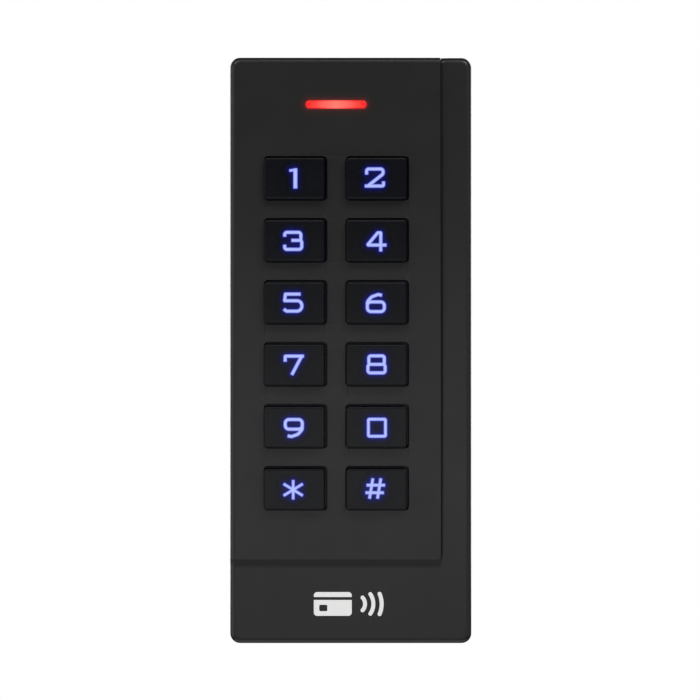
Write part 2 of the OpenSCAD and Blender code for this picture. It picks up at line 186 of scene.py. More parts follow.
class Shell:
    """Vertices in mm and faces, gathered patch by patch and welded by make_piece()."""

    def __init__(self):
        self.verts = []
        self.faces = []

    def add(self, verts, faces, flip=False):
        base = len(self.verts)
        self.verts.extend(np.asarray(verts, float).tolist())
        self.faces.extend([[base + i for i in (f[::-1] if flip else f)] for f in faces])

    def sweep(self, edges, levels):
        """Quads from each edge of the first level on to the next levels, which have the same points."""
        count = len(levels[0])
        faces = [[k * count + b, k * count + a, (k + 1) * count + a, (k + 1) * count + b]
                 for k in range(len(levels) - 1) for a, b in edges]
        self.add(np.vstack(levels), faces)

    def stack(self, rings):
        """A closed solid from rings of equal length, with a flat face on the first and last."""
        count = len(rings[0])
        first = len(self.verts)
        last = first + (len(rings) - 1) * count
        self.sweep(around(count), rings)
        self.faces.append([first + i for i in range(count)][::-1])
        self.faces.append([last + i for i in range(count)])

    def revolve(self, section, centre=(0, 0)):
        """A solid turned about the z axis, from (radius, z) points, round a section or from axis to axis."""
        rings = [at_z(circle_loop(max(r, ON_AXIS), ROUND_STEPS) + centre, z) for r, z in section]
        if section[0][0] > 0:
            self.sweep(around(ROUND_STEPS), rings + rings[:1])
        else:
            self.stack(rings)


def around(count):
    """Edges of a ring of points, clockwise."""
    return [((i + 1) % count, i) for i in range(count)]


def at_z(points, z):
    return np.column_stack([points, np.broadcast_to(z, len(points))])


def fill(lines, keep):
    """Triangles over the plane, cut along lines of (points, closed)."""
    points, edges = [], []
    for line, closed in lines:
        base, count = len(points), len(line)
        points.extend(Vector((x, y)) for x, y in line)
        edges.extend((base + i, base + (i + 1) % count) for i in range(count if closed else count - 1))
    return triangles(points, edges, keep)


def triangles(points, edges, keep):
    """Triangles over the plane, cut along edges between points, where keep(centres) holds."""
    verts, _, faces, *_ = delaunay_2d_cdt(points, edges, [], 0, SAME_POINT)
    verts = np.array([(v.x, v.y) for v in verts])
    faces = np.array([f for f in faces if len(f) == 3])
    faces = faces[keep(verts[faces].mean(axis=1))]
    corner = verts[faces]
    turn = np.cross(corner[:, 1] - corner[:, 0], corner[:, 2] - corner[:, 0])
    faces[turn < 0] = faces[turn < 0][:, ::-1]
    return verts, faces.tolist()


def border(faces):
    """Edges that only one face has, in that face's direction."""
    seen = set()
    for f in faces:
        seen.update((f[i - 1], f[i]) for i in range(len(f)))
    return [(a, b) for a, b in seen if (b, a) not in seen]


def plate(verts, faces, z0, z1):
    """A flat plate between two heights."""
    shell = Shell()
    shell.add(at_z(verts, z1), faces)
    shell.add(at_z(verts, z0), faces, flip=True)
    shell.sweep(border(faces), [at_z(verts, z1), at_z(verts, z0)])
    return shell


def make_mesh(name, shell):
    """The shell as a mesh that stands up, in metres, with its patches welded."""
    verts = np.array(shell.verts)
    row = np.column_stack([verts[:, 0], -verts[:, 2], verts[:, 1]]) * MM
    mesh = bpy.data.meshes.new(name)
    mesh.from_pydata(row.tolist(), [], shell.faces)
    bm = bmesh.new()
    bm.from_mesh(mesh)
    bmesh.ops.remove_doubles(bm, verts=bm.verts, dist=WELD)
    bmesh.ops.dissolve_degenerate(bm, edges=bm.edges, dist=SLIVER)
    bmesh.ops.recalc_face_normals(bm, faces=bm.faces)
    bm.to_mesh(mesh)
    bm.free()
    return mesh


def keep_flat(piece):
    """Normals that keep flat faces flat beside rounded edges."""
    weighted = piece.modifiers.new("flat faces", "WEIGHTED_NORMAL")
    weighted.keep_sharp = True
    weighted.weight = 80


def link(name, data):
    piece = bpy.data.objects.new(name, data)
    bpy.context.scene.collection.objects.link(piece)
    return piece


def finish_piece(piece, material, body, replaces=(), slot=None):
    """Smooth shading with crisp corners, the named material, and where the piece belongs."""
    mesh = piece.data
    mesh.materials.clear()
    mesh.materials.append(MATERIALS[material])
    mesh.polygons.foreach_set("use_smooth", [True] * len(mesh.polygons))
    mesh.set_sharp_from_angle(angle=SHARP_ANGLE)
    keep_flat(piece)
    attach(piece, body)
    if replaces:
        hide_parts(*replaces)


def make_piece(name, shell, *finish, **more):
    piece = link(name, make_mesh(name, shell))
    finish_piece(piece, *finish, **more)
    return piece


def body_x(p):
    """Material coordinate of a point, in metres."""
    return (p[0] * MM, -p[2] * MM, p[1] * MM)


# ---- materials

MIDDLE = (0.3, 0.7)   # where most of a noise's values lie
MATERIALS = {}   # by the names used here, because Blender numbers a name that the CAD model has taken


class Nodes:
    """Short calls for a material's node tree."""

    def __init__(self, name):
        material = MATERIALS[name] = bpy.data.materials.new(name)
        material.use_nodes = True
        self.tree = material.node_tree
        self.shader = self.tree.nodes["Principled BSDF"]
        self.place = self.add("ShaderNodeTexCoord").outputs["Object"]

    def put(self, socket, value):
        """Links a socket, or sets it to a number, a vector or a colour."""
        if isinstance(value, bpy.types.NodeSocket):
            self.tree.links.new(value, socket)
        else:
            socket.default_value = (*value, 1) if socket.type == "RGBA" else value

    def add(self, kind, inputs=(), **settings):
        node = self.tree.nodes.new(kind)
        for key, value in settings.items():
            setattr(node, key, value)
        for key, value in dict(inputs).items():
            self.put(node.inputs[key], value)
        return node

    def set(self, **inputs):
        for key, value in inputs.items():
            self.put(self.shader.inputs[key.replace("_", " ")], value)

    def axes(self):
        """The point's X, Y and Z, in metres."""
        return self.add("ShaderNodeSeparateXYZ", {0: self.place}).outputs

    def noise(self, scale, detail=2.0, roughness=0.5, stretch=None):
        place = self.place
        if stretch:
            place = self.add("ShaderNodeMapping", {"Vector": place, "Scale": stretch}).outputs["Vector"]
        inputs = {"Vector": place, "Scale": scale, "Detail": detail, "Roughness": roughness}
        return self.add("ShaderNodeTexNoise", inputs).outputs["Fac"]

    def math(self, operation, a, b=0.0, clamp=False):
        return self.add("ShaderNodeMath", {0: a, 1: b}, operation=operation, use_clamp=clamp).outputs[0]

    def mixed(self, a, b, share):
        """Two values added, with a's share of the sum."""
        rest = round(1 - share, 3)
        return self.math("ADD", self.math("MULTIPLY", a, share), self.math("MULTIPLY", b, rest))

    def away(self, axis, middle):
        """Distance from a middle plane along one axis, in metres."""
        return self.math("ABSOLUTE", self.math("SUBTRACT", axis, middle))

    def ramp(self, factor, stops):
        """Colour from stops of (position, colour)."""
        node = self.add("ShaderNodeValToRGB", {"Fac": factor})
        elements = node.color_ramp.elements
        while len(elements) < len(stops):
            elements.new(0.5)
        for element, (position, colour) in zip(elements, stops):
            element.position = position
            element.color = (*colour, 1)
        return node.outputs["Color"]

    def mottle(self, factor, dark, light):
        """Colour that drifts between two shades with a noise, whose values lie about MIDDLE."""
        return self.ramp(factor, list(zip(MIDDLE, (dark, light))))

    def spread(self, factor, low, high, span=MIDDLE):
        """The factor's range from the start to the end of a span, stretched to low..high."""
        inputs = {"Value": factor, "From Min": span[0], "From Max": span[1], "To Min": low, "To Max": high}
        return self.add("ShaderNodeMapRange", inputs).outputs["Result"]

    def blend(self, factor, a, b):
        """Colour a where the factor is 0 and b where it is 1."""
        return self.add("ShaderNodeMix", {"Factor": factor, 6: a, 7: b}, data_type="RGBA").outputs[2]

    def bump(self, height, depth, strength=1.0):
        """Bump of a height from 0 to 1 that stands for a depth in metres."""
        node = self.add("ShaderNodeBump", {"Height": height, "Strength": strength, "Distance": depth})
        self.put(self.shader.inputs["Normal"], node.outputs["Normal"])


def plain(name, colour, roughness, vary=0.12, grain=900, bump=2e-6, metallic=0.0, stretch=None, **inputs):
    """A material with mottled colour, uneven gloss and a fine grain."""
    n = Nodes(name)
    mottle = n.noise(grain / 12, 4)
    fine = n.noise(grain, 3, stretch=stretch)
    dark = tuple(c * (1 - vary) for c in colour)
    light = tuple(min(c * (1 + vary), 1) for c in colour)
    n.set(Base_Color=n.mottle(mottle, dark, light), Metallic=metallic, **inputs)
    n.set(Roughness=n.spread(n.mixed(mottle, fine, 0.5), roughness * 0.85, min(roughness * 1.15, 1)))
    n.bump(fine, bump)


# Painted red glow on the housing round the status bar: how far it reaches in m, and its colours at shares of
# that
PAINTED_GLOW_REACH = 2.0 * MM
PAINTED_RED_GLOW = [(0.0, (0.11, 0.003, 0.003)), (0.15, (0.04, 0.001, 0.001)), (0.4, (0.010, 0, 0)), (1.0, (0, 0, 0))]


def housing_plastic():
    """Satin black plastic with a fine moulded texture, and a painted red glow round the status bar."""
    n = Nodes("housing_plastic")
    cloud = n.noise(35, 5, 0.6)
    grain = n.noise(4200, 2)
    smudge = n.noise(90, 3, 0.7)
    n.set(Base_Color=n.mottle(cloud, (0.0185, 0.0186, 0.0189), (0.0215, 0.0214, 0.0212)))
    n.set(Specular_IOR_Level=0.5)
    n.set(Roughness=n.spread(n.mixed(smudge, grain, 0.7), 0.31, 0.39))
    n.bump(grain, 6e-6, 0.6)
    axes = n.axes()
    across = n.away(axes["X"], BAR[0] * MM)
    up = n.math("SUBTRACT", axes["Z"], BAR[1] * MM)
    past_end = n.math("MAXIMUM", n.math("SUBTRACT", across, (BAR_W - BAR_H) / 2 * MM), 0.0)
    reach = n.math("SQRT", n.math("ADD", n.math("MULTIPLY", past_end, past_end), n.math("MULTIPLY", up, up)))
    share = n.math("DIVIDE", n.math("SUBTRACT", reach, BAR_H / 2 * MM), PAINTED_GLOW_REACH)
    # painted light: red emission on the housing that fades with distance from the status bar
    n.set(Emission_Color=n.ramp(share, PAINTED_RED_GLOW), Emission_Strength=1.0)


PAINTED_KEY_GLOW = (0.0, 0.0002, 0.0013)   # painted faint blue glow over all of a key's plastic


def key_plastic():
    """Smoother black plastic that fingers have polished."""
    n = Nodes("key_plastic")
    cloud = n.noise(140, 4)
    grain = n.noise(5200, 2)
    n.set(Base_Color=n.mottle(cloud, (0.0052, 0.0054, 0.0062), (0.0068, 0.0070, 0.0080)))
    n.set(Specular_IOR_Level=0.24)
    n.set(Roughness=n.spread(n.mixed(cloud, grain, 0.6), 0.23, 0.30))
    n.bump(grain, 4e-6, 0.5)
    # painted light: a faint blue glow over the whole key
    n.set(Emission_Color=PAINTED_KEY_GLOW, Emission_Strength=1.0)


# Colours of a lit legend at its values of the attribute "glow"
LEGEND_LIGHT = [(0.0, PAINTED_KEY_GLOW), (0.2, (0.0, 0.001, 0.10)), (0.5, (0.12, 0.14, 0.70)),
                (0.8, (0.36, 0.42, 0.98)), (1.0, (0.47, 0.55, 1.0))]


def blue_light():
    """Legend lit from behind: pale in the middle of a stroke, deep blue at its edge, and a painted glow fading
    into the key.
    """
    n = Nodes("blue_light")
    glow = n.add("ShaderNodeAttribute", attribute_name="glow").outputs["Fac"]
    cloud = n.noise(900, 3)
    n.set(Base_Color=n.mottle(cloud, (0.0040, 0.0046, 0.0068), (0.0054, 0.0060, 0.0084)),
          Roughness=n.spread(cloud, 0.24, 0.29), Specular_IOR_Level=0.225)
    n.set(Emission_Color=n.ramp(glow, LEGEND_LIGHT), Emission_Strength=n.spread(cloud, 0.95, 1.05))


# Colours of the lit lens from its middle, 0, to its ends, 1
LENS_LIGHT = [(0.0, (0.96, 0.19, 0.15)), (0.4, (0.97, 0.125, 0.105)), (0.7, (0.95, 0.045, 0.04)),
              (0.9, (0.84, 0.012, 0.012)), (1.0, (0.65, 0.008, 0.010))]


def red_lens():
    """Diffusing red lens over three lamps: brightest in the middle, deeper red at its ends and edges."""
    n = Nodes("red_lens")
    axes = n.axes()
    across = n.math("DIVIDE", n.away(axes["X"], BAR[0] * MM), BAR_W / 2 * MM)
    up = n.math("DIVIDE", n.away(axes["Z"], BAR[1] * MM), BAR_H / 2 * MM)
    edge = n.math("MULTIPLY", n.math("POWER", up, 3.0), 0.35)
    lit = n.ramp(n.math("ADD", across, edge, clamp=True), LENS_LIGHT)
    cloud = n.noise(500, 3)
    n.set(Base_Color=n.mottle(cloud, (0.30, 0.02, 0.015), (0.36, 0.03, 0.022)),
          Roughness=n.spread(cloud, 0.25, 0.35), Emission_Color=lit, Emission_Strength=1.0)


# The finishes of a two-part node: (colour, metallic, roughness)
CHIP = ((0.022, 0.022, 0.024), 0.0, 0.5)
TIN = ((0.62, 0.62, 0.63), 1.0, 0.35)


def two_part(name, centre, half):
    """CHIP inside a box of that half size in m, endless along an axis with None, and TIN outside it."""
    n = Nodes(name)
    axes = n.axes()
    mask = None
    for axis, c, h in zip("XYZ", centre, half):
        if h is None:
            continue
        near = n.math("LESS_THAN", n.away(axes[axis], c), h)
        mask = near if mask is None else n.math("MULTIPLY", mask, near)
    cloud = n.noise(1500, 3)
    tin, chip = [n.mottle(cloud, *(tuple(min(c * by, 1) for c in finish[0]) for by in (0.88, 1.12)))
                 for finish in (TIN, CHIP)]
    n.set(Base_Color=n.blend(mask, tin, chip),
          Metallic=n.spread(mask, TIN[1], CHIP[1], (0, 1)),
          Roughness=n.spread(mask, TIN[2], CHIP[2], (0, 1)))
    n.bump(cloud, 4e-6, 0.6)


housing_plastic()
key_plastic()
blue_light()
red_lens()
# the print's emission is painted light that makes it brighter than the lamps light it
plain("white_print_painted_glow", (0.88, 0.88, 0.87), 0.45, vary=0.03, grain=2500,
      Emission_Color=(1.0, 1.0, 1.0), Emission_Strength=0.32)
plain("white_plastic", (0.80, 0.80, 0.78), 0.45, vary=0.04, grain=1500)
plain("silicone", (0.55, 0.57, 0.59), 0.6, vary=0.05, grain=700, Subsurface_Weight=0.2,
      Subsurface_Scale=0.001)
plain("carbon_rubber", (0.012, 0.012, 0.012), 0.75, grain=2500)
plain("board_green", (0.012, 0.085, 0.035), 0.35, vary=0.18, grain=1600, Coat_Weight=0.3)
plain("gold_plate", (0.80, 0.57, 0.22), 0.25, vary=0.06, grain=2200, metallic=1.0)
plain("lamp_resin", (0.86, 0.78, 0.42), 0.3, vary=0.06, grain=2600)
plain("chip_black", CHIP[0], CHIP[2], grain=2600, bump=4e-6)
plain("tinned_metal", TIN[0], TIN[2], vary=0.08, grain=2000, metallic=1.0)
plain("sensor_resin", (0.55, 0.25, 0.08), 0.3, grain=1600, Coat_Weight=0.4)
plain("ivory_plastic", (0.78, 0.72, 0.58), 0.45, vary=0.05, grain=1200)
plain("copper_wire", (0.72, 0.30, 0.12), 0.3, grain=3000, bump=2e-5, metallic=1.0, stretch=(0.15, 1, 1))
plain("screw_steel", (0.55, 0.55, 0.56), 0.32, vary=0.10, grain=1800, bump=3e-6, metallic=1.0)
plain("plate_steel", (0.56, 0.57, 0.58), 0.42, vary=0.14, grain=420, bump=5e-6, metallic=1.0)
plain("black_rubber", (0.016, 0.016, 0.016), 0.7, vary=0.2, grain=1500, bump=1e-5)
plain("rear_plastic", (0.016, 0.016, 0.017), 0.5, vary=0.15, grain=2600, bump=6e-6)
plain("clear_plastic", (0.85, 0.90, 0.92), 0.12, vary=0.03, grain=600, Transmission_Weight=0.85, IOR=1.5)


# ---- front cover

def step_path(u):
    """Line from the top edge to the left one, the share u of the way across the step."""
    centre = np.array([PANEL_X - PANEL_CORNER_R, PANEL_Y + PANEL_CORNER_R])
    a = np.radians(np.linspace(0, 90, 9))
    rx, ry = PANEL_CORNER_R + STEP_LOW * u, PANEL_CORNER_R + STEP_Y * u
    corner = np.column_stack([centre[0] + rx * np.cos(a), centre[1] - ry * np.sin(a)])
    return np.vstack([[PANEL_X - PANEL_LEAN + STEP_TOP * u, HALF_H], corner, [-HALF_W - 1, centre[1] - ry]])


# The lines along the step that the face is cut along
STEP_SHARES = (0, 0.03, 0.07, 0.12, 0.2, 0.32, 0.45, 0.6, 0.73, 0.87, 1)
# Right side of the step: shares of its width, of the step's height there, and of the groove's depth
SIDE_AT = [0, 0.12, 0.2, 0.45, 1]
SIDE_DOWN = [0, 0.85, 1, 1, 1]
SIDE_GROOVE = [0, 0.8, 1, 0.5, 0]


def step_share(p):
    """How far across the step, 0 on the panel to 1 on the strip, and 1 beside the panel to 0 below it."""
    dx = p[:, 0] - (PANEL_X - PANEL_CORNER_R)
    dy = PANEL_Y + PANEL_CORNER_R - p[:, 1]
    up = np.clip(-dy / (HALF_H - PANEL_Y - PANEL_CORNER_R), 0, 1)
    right = (p[:, 0] - PANEL_X + PANEL_LEAN * up) / (STEP_LOW + (STEP_TOP - STEP_LOW) * up)
    below = (PANEL_Y - p[:, 1]) / STEP_Y
    share = np.maximum(right, below)
    corner = (dx > 0) & (dy > 0)
    side = np.where(corner, 1 - np.arctan2(dy, np.maximum(dx, 1e-9)) / (math.pi / 2), dx > 0)
    # round the corner the lines are ellipses, and the one through a point is found by halving
    low, high = np.full(len(p), -0.4), np.full(len(p), 30.0)
    for _ in range(50):
        u = (low + high) / 2
        inside = (dx / (PANEL_CORNER_R + STEP_LOW * u)) ** 2 + (dy / (PANEL_CORNER_R + STEP_Y * u)) ** 2 < 1
        high, low = np.where(inside, u, high), np.where(inside, low, u)
    share[corner] = u[corner]
    return np.clip(share, 0, 1), side


def front_height(p):
    """Height of the front face: below the panel the step eases out, beside it the step drops into a groove."""
    u, side = step_share(p)
    begun = u - STEP_ROUND * (1 - np.exp(-u / STEP_ROUND))
    begun /= 1 - STEP_ROUND * (1 - math.exp(-1 / STEP_ROUND))
    drop = PANEL_Z - STRIP_Z
    below = drop * (1 - (1 - begun) ** STEP_EASE)
    beside = drop * np.interp(u, SIDE_AT, SIDE_DOWN) + GROOVE * np.interp(u, SIDE_AT, SIDE_GROOVE)
    return PANEL_Z - below - side * (beside - below)


def round_over(radius, steps):
    """Pairs of (outwards, down) round a convex edge of that radius."""
    a = np.radians(np.linspace(0, 90, steps + 1))[1:]
    return [(radius * math.sin(t), radius * (1 - math.cos(t))) for t in a]


def widened(size, by):
    """Width, height and corner radius of a round rectangle whose outline has moved outwards."""
    return size[0] + 2 * by, size[1] + 2 * by, size[2] + by


def on_outline(edges, verts, size, centre=(0, 0)):
    """Those of the edges that lie on a round rectangle's outline."""
    return [e for e in edges if abs(rect_distance(verts[[e[0]]] - centre, *size)[0]) < 1e-3]


def edge_lines(edges, level):
    """Lines for fill() along edges of a level."""
    return [(np.array([level[a, :2], level[b, :2]]), False) for a, b in edges]


def front_cover():
    shell = Shell()
    flat = widened(OUTLINE, -EDGE_R)
    # (centre, size, radius of its rounded edge, steps round a corner)
    holes = [(KEY_CENTRES[k] + OPENING_SHIFT, OPENING, OPENING_EDGE, 6) for k in KEY_NAMES]
    holes.append((BAR, SLOT, SLOT_EDGE, 14))

    lines = [(rect_loop(*flat, 10), True)]
    lines += [(step_path(u), False) for u in STEP_SHARES]
    lines += [(rect_loop(*widened(size, edge), steps) + centre, True) for centre, size, edge, steps in holes]

    def on_face(p):
        inside = rect_distance(p, *flat) < 0
        for centre, size, edge, _ in holes:
            inside &= rect_distance(p - centre, *widened(size, edge)) > 0
        return inside

    verts, faces = fill(lines, on_face)
    height = front_height(verts)
    shell.add(at_z(verts, height), faces)
    edges = border(faces)

    # rounded front edge, side walls and rounded rim
    levels = [at_z(verts, height)]
    for out, down in round_over(EDGE_R, 8):
        levels.append(at_z(grow(verts, 0, *flat, out), height - down))
    levels.append(at_z(grow(verts, 0, *flat, EDGE_R), RIM_Z + RIM_EDGE_R))
    levels += [at_z(grow(verts, 0, *flat, EDGE_R - RIM_EDGE_R + math.cos(t) * RIM_EDGE_R),
                    RIM_Z + RIM_EDGE_R * (1 - math.sin(t))) for t in np.radians([30, 60, 90])]
    outer = on_outline(edges, verts, flat)
    shell.sweep(outer, levels)
    rim_lines = edge_lines(outer, levels[-1])

    # openings, down through the face
    opening_lines = []
    for centre, size, edge, _ in holes:
        wide = widened(size, edge)
        levels = [at_z(verts, height)]
        for out, down in round_over(edge, 3):
            levels.append(at_z(grow(verts, centre, *wide, -out), height - down))
        levels.append(at_z(levels[-1][:, :2], CEILING_Z))
        mine = on_outline(edges, verts, wide, centre)
        shell.sweep(mine, levels)
        opening_lines += edge_lines(mine, levels[-1])

    # the back of the face, the ledge that the rear cover sits on, and the rim
    inner, core = rect_loop(*INNER, 6), rect_loop(*CORE, 6)

    def ceiling(p):
        inside = rect_distance(p, *CORE) < 0
        for centre, size, _, _ in holes:
            inside &= rect_distance(p - centre, *size) > 0
        return inside

    def ledge(p):
        return (rect_distance(p, *INNER) < 0) & (rect_distance(p, *CORE) > 0)

    def rim(p):
        return (rect_distance(p, *widened(OUTLINE, -RIM_EDGE_R)) < 0) & (rect_distance(p, *INNER) > 0)

    for extra, loops, keep, z in [(opening_lines, [core], ceiling, CEILING_Z),
                                  ([], [inner, core], ledge, LEDGE_Z), (rim_lines, [inner], rim, RIM_Z)]:
        v, f = fill([(loop, True) for loop in loops] + extra, keep)
        shell.add(at_z(v, z), f, flip=True)
    ring = [(i, (i + 1) % len(inner)) for i in range(len(inner))]
    shell.sweep(ring, [at_z(inner, LEDGE_Z), at_z(inner, RIM_Z)])
    shell.sweep(ring, [at_z(core, CEILING_Z), at_z(core, LEDGE_Z)])
    return shell


def bosses():
    """Screw bosses with blind bores, the hanging rib and the block round the security screw."""
    shell = Shell()
    top = CEILING_Z + BOSS_OVERLAP
    for centre in BOARD_BOSSES:
        shell.revolve([(BOARD_BORE_R, BOARD_TOP_Z), (BOARD_BOSS_R, BOARD_TOP_Z), (BOARD_BOSS_R, top),
                       (BOARD_BORE_R, top)], centre)
    for centre in CORNER_BOSSES:
        shell.revolve([(CORNER_BORE_R, CORNER_BOSS_Z), (CORNER_BOSS_R, CORNER_BOSS_Z), (CORNER_BOSS_R, LEDGE_Z),
                       (CORNER_FOOT_R, LEDGE_Z), (CORNER_FOOT_R, top), (CORNER_BORE_R, top)], centre)
    for size, y, levels in (RIB, LOCK_BLOCK):
        loop = rect_loop(*size, 2) + [0, y]
        shell.stack([at_z(loop, z) for z in levels])
    return shell


def lock_bore():
    """Counterbored hole for the security screw, up through the bottom edge."""
    shell = Shell()
    (head_r, head_end), (shank_r, shank_end) = LOCK_HEAD, LOCK_SHANK
    shell.revolve([(0, -1), (head_r, -1), (head_r, head_end), (shank_r, head_end), (shank_r, shank_end),
                   (0, shank_end)])
    shell.verts = [[x, -HALF_H + z, LOCK_Z - y] for x, y, z in shell.verts]
    return shell


def combine(piece, tools):
    """Joins or cuts solids, exactly, and removes them."""
    made = []
    for operation, shell in tools:
        tool = link("tool", make_mesh("tool", shell))
        step = piece.modifiers.new(operation, "BOOLEAN")
        step.operation = operation
        step.solver = "EXACT"
        step.object = tool
        made.append(tool)
    graph = bpy.context.evaluated_depsgraph_get()
    mesh = bpy.data.meshes.new_from_object(piece.evaluated_get(graph))
    piece.modifiers.clear()
    piece.data = mesh
    for tool in made:
        bpy.data.objects.remove(tool)


cover = link("cover_moulding", make_mesh("cover_moulding", front_cover()))
combine(cover, [("UNION", bosses()), ("DIFFERENCE", lock_bore())])
finish_piece(cover, "housing_plastic", "housing", ["front_cover"])


# ---- keys

# Rounded edge of a key: (depth below its face, inset at its ends, at its top and at its bottom)
KEY_EDGE = [(0.32, 0, 0, 0), (0.22, 0.012, 0.01, 0.01), (0.15, 0.04, 0.035, 0.03), (0.11, 0.065, 0.10, 0.06),
            (0.075, 0.09, 0.165, 0.11), (0.035, 0.13, 0.24, 0.27), (0, 0.18, 0.32, 0.43)]


def keycap(centre):
    """Hollow key: its post and cavity below, its flange and sides, and its rounded edge and face."""
    steps = 6
    count = 4 * (steps + 1)
    post, cavity, flange = circle_loop(POST_R, count), rect_loop(*CAVITY, steps), rect_loop(*FLANGE, steps)
    side, flange_z = rect_loop(KEY_W, KEY_H, KEY_CORNER_R, steps), KEY_BASE_Z + FLANGE_T
    rings = [at_z(loop, z) for loop, z in [
        (post, KEY_BASE_Z), (post, CAVITY_Z), (cavity, CAVITY_Z), (cavity, KEY_BASE_Z), (flange, KEY_BASE_Z),
        (flange, flange_z), (side, flange_z)]]
    for down, ends, top, bottom in KEY_EDGE:
        loop = rect_loop(KEY_W - 2 * ends, KEY_H - top - bottom, KEY_CORNER_R - (top + bottom) / 2, steps)
        rings.append(at_z(loop + [0, (bottom - top) / 2], KEY_TOP_Z - down))
    shell = Shell()
    shell.stack(rings)
    shell.verts = (np.array(shell.verts) + [*centre, 0]).tolist()
    return shell


# Legends. SIDE is from the centre to the middle of a stroke along the side, and END to a stroke's end there
STROKE_W, HASH_W, STAR_W, STROKE_END_R = 0.8, 0.75, 0.7, 0.12
SIDE, END = 1.785, 2.2
# Open strokes: (width, points with the radius of the bend there), in mm from the legend's centre
SIX = [(STROKE_W, [(1.35, 1.6), (0.5, 1.8, 0.5), (-0.9, 1.3, 1.0), (-1.78, 0.3, 1.0), (-1.78, -0.8)])]
STROKES = {
    "1": [(0.66, [(-0.95, 1.6), (0.4, 1.75)]), (0.95, [(0.38, 2.15), (0.38, -END)])],
    "2": [(STROKE_W, [(-1.75, 0.55), (-1.75, SIDE, 0.45), (1.7, SIDE, 0.75), (1.7, 0.75, 0.6), (-1.5, -SIDE)]),
          (STROKE_W, [(-END, -SIDE), (SIDE, -SIDE, 0.3), (SIDE, -0.74)])],
    "3": [(STROKE_W, [(-SIDE, 0.8), (-SIDE, SIDE, 0.5), (1.6, SIDE, 0.55), (1.6, 0.1, 0.35), (-0.46, 0.1)]),
          (STROKE_W, [(0.6, 0.1), (SIDE, 0.1, 0.45), (SIDE, -SIDE, 0.6), (-SIDE, -SIDE, 0.45),
                      (-SIDE, -0.75)])],
    "4": [(STROKE_W, [(END, -0.8), (-1.85, -0.8, 0.1), (0.3, SIDE, 0.15), (0.93, SIDE, 0.1), (0.93, -END)])],
    "5": [(STROKE_W, [(1.6, SIDE), (-1.66, SIDE), (-1.83, 0.4, 0.05), (SIDE, 0.4, 1.0), (SIDE, -SIDE, 1.05),
                      (-1.45, -SIDE, 0.5), (-2.05, -1.3)])],
    "6": SIX,
    "7": [(STROKE_W, [(-1.8, 0.57), (-1.8, SIDE, 0.1), (END, SIDE)]), (STROKE_W, [(1.72, 1.9), (-0.45, -END)])],
    "8": [],
    "9": [(w, [(-p[0], -p[1], *p[2:]) for p in path]) for w, path in SIX],
    "0": [],
    "star": [(STAR_W, [(0, 2.1), (0, -2.1)]), (STAR_W, [(-2.07, -1.27), (2.07, 1.27)]),
             (STAR_W, [(-2.07, 1.27), (2.07, -1.27)])],
    "hash": [(HASH_W, [(x - 0.365, -END), (x + 0.365, END)]) for x in (-0.83, 0.83)]
            + [(HASH_W, [(-1.88, 0.7), (2.14, 0.7)]), (HASH_W, [(-2.1, -0.88), (1.9, -0.88)])],
}
# Closed strokes: (width of the stroke, centre x and y, width, height, radius of the bends)
SIX_BOWL = (STROKE_W, 0, -0.77, 2 * SIDE, 2.03, 0.8)
RINGS = {
    "6": [SIX_BOWL],
    "8": [(STROKE_W, 0, 0.89, 3.24, 1.78, 0.45), (STROKE_W, 0, -0.89, 3.6, 1.78, 0.5)],
    "9": [(w, -x, -y, *size) for w, x, y, *size in [SIX_BOWL]],
    "0": [(0.75, 0, 0, 2 * SIDE, 2 * SIDE, 0.24)],
}
# Where each legend's centre lies from its key's centre
LEGEND_SHIFT = {"1": (-0.15, 0.04), "2": (-0.29, 0.2), "3": (-0.21, -0.02), "4": (-0.01, -0.1),
                "5": (-0.19, 0.09), "6": (-0.11, 0), "7": (-0.1, 0.15), "8": (0.04, 0.21),
                "9": (-0.1, -0.07), "0": (0.12, -0.01), "star": (-0.22, 0.05), "hash": (-0.25, 0.31)}


def length(v):
    return np.linalg.norm(v)


def bend(path):
    """Points along a path of straights and arcs."""
    points = [np.array(path[0][:2])]
    for before, here, after in zip(path, path[1:], path[2:]):
        p, a, b = np.array(here[:2]), np.array(before[:2]), np.array(after[:2])
        if len(here) == 2:
            points.append(p)
            continue
        u, v = (a - p) / length(a - p), (b - p) / length(b - p)
        half = math.acos(np.clip(u @ v, -1, 1)) / 2
        reach = min(here[2] / math.tan(half), 0.5 * length(a - p), 0.5 * length(b - p))
        radius = reach * math.tan(half)
        centre = p + (u + v) / length(u + v) * radius / math.sin(half)
        start, end = p + u * reach - centre, p + v * reach - centre
        a0 = math.atan2(start[1], start[0])
        turn = (math.atan2(end[1], end[0]) - a0 + math.pi) % (2 * math.pi) - math.pi
        points += [centre + radius * np.array([math.cos(a0 + turn * t), math.sin(a0 + turn * t)])
                   for t in np.linspace(0, 1, 9)]
    points.append(np.array(path[-1][:2]))
    return points


def line_distance(p, a, b):
    """Distance from points to the line from a to b."""
    run = b - a
    t = np.clip(((p - a) @ run) / max(run @ run, 1e-12), 0, 1)
    return np.hypot(*(p - a - t[:, None] * run).T)


def stroke_distance(p, width, path):
    """Distance to a stroke that has flat ends with just broken corners."""
    points = bend(path)
    squares = []
    for i, inner in ((0, points[1]), (-1, points[-2])):
        along = (points[i] - inner) / length(points[i] - inner)
        points[i] = points[i] - along * width / 2
        local = p - points[i]
        turned = np.column_stack([local @ along, local @ np.array([-along[1], along[0]])])
        squares.append(rect_distance(turned, width, width, STROKE_END_R))
    lines = [line_distance(p, a, b) - width / 2 for a, b in zip(points, points[1:])]
    return np.minimum.reduce(lines + squares)


def legend_distance(key, p):
    """Distance from points to a key's legend, negative inside its strokes."""
    parts = [stroke_distance(p, w, path) for w, path in STROKES[key]]
    parts += [np.abs(rect_distance(p - [x, y], *size)) - w / 2 for w, x, y, *size in RINGS.get(key, [])]
    return np.minimum.reduce(parts)


